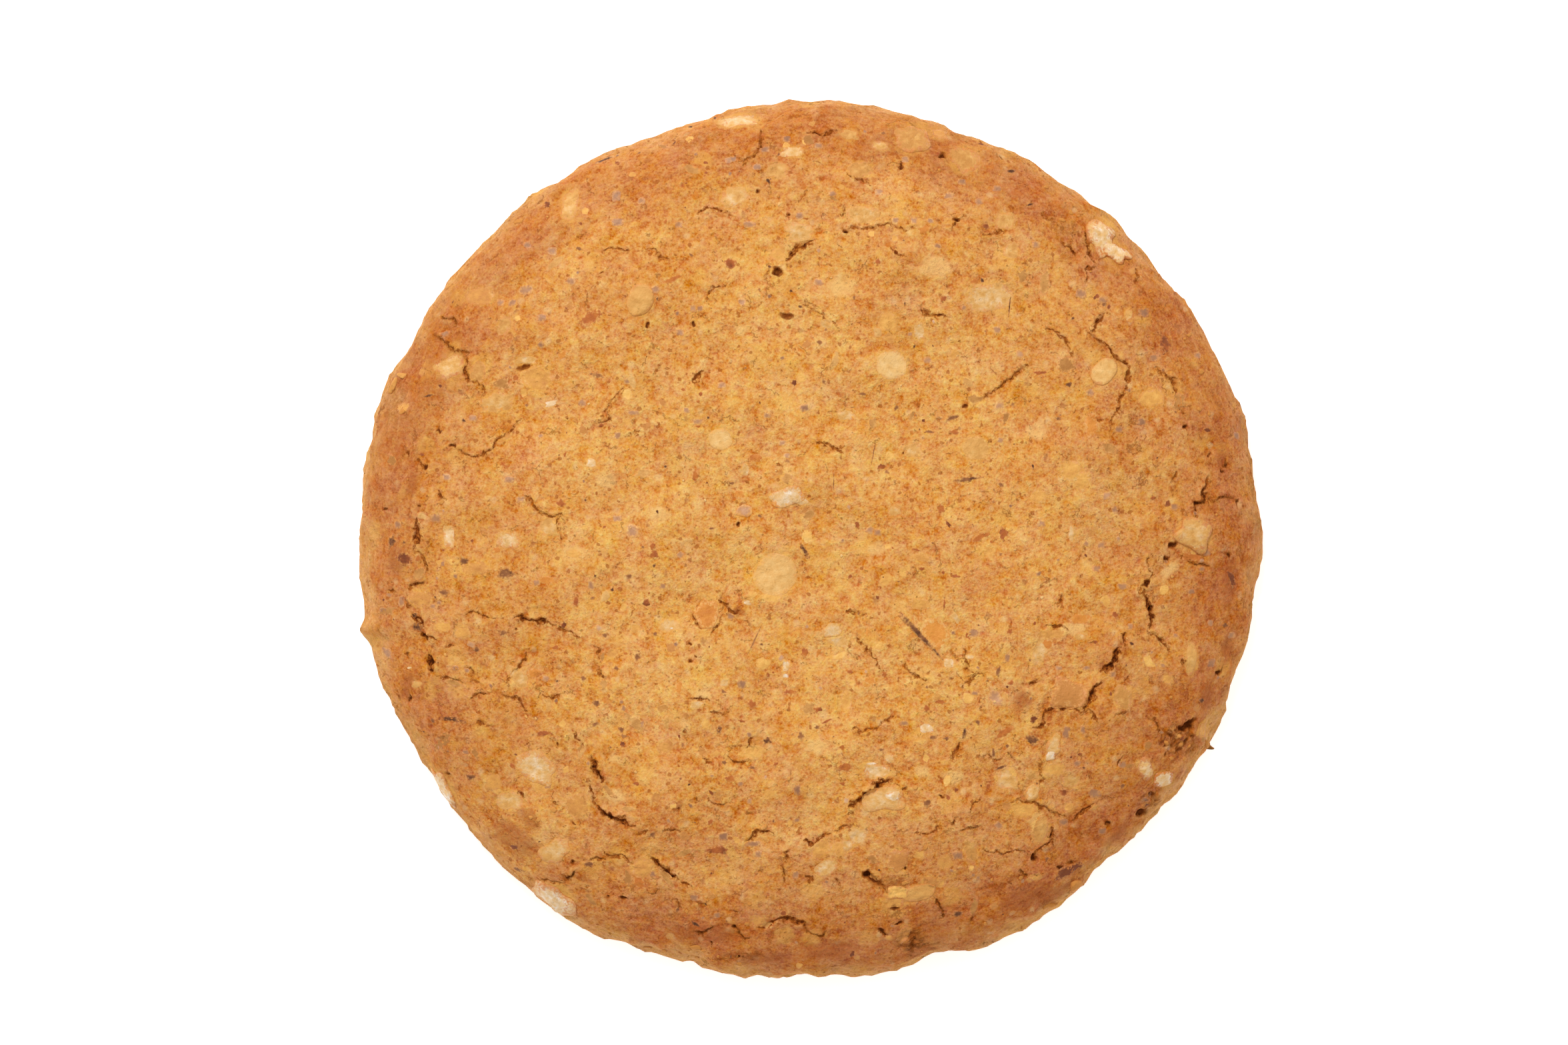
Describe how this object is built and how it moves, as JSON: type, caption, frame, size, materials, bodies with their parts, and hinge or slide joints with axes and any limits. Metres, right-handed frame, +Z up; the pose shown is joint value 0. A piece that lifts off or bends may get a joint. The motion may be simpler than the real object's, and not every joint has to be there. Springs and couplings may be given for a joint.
{
  "type": "wholegrain nut cookie",
  "caption": "Round flat-based baked cookie with a low domed, cracked top, a rounded shoulder, and oat flakes and chopped nuts set in the crust.",
  "frame": {"origin": "middle of the flat base, on the surface that the cookie rests on", "axes": "+Z up through the domed top, +X along the cookie's slightly longer diameter, +Y across it"},
  "size_m": [0.072, 0.07, 0.0089],
  "materials": {
    "crumb": "matt baked crumb, golden in the middle and browner at the rim"
  },
  "bodies": {
    "root": {"cookie": "crumb"}
  },
  "joints": []
}
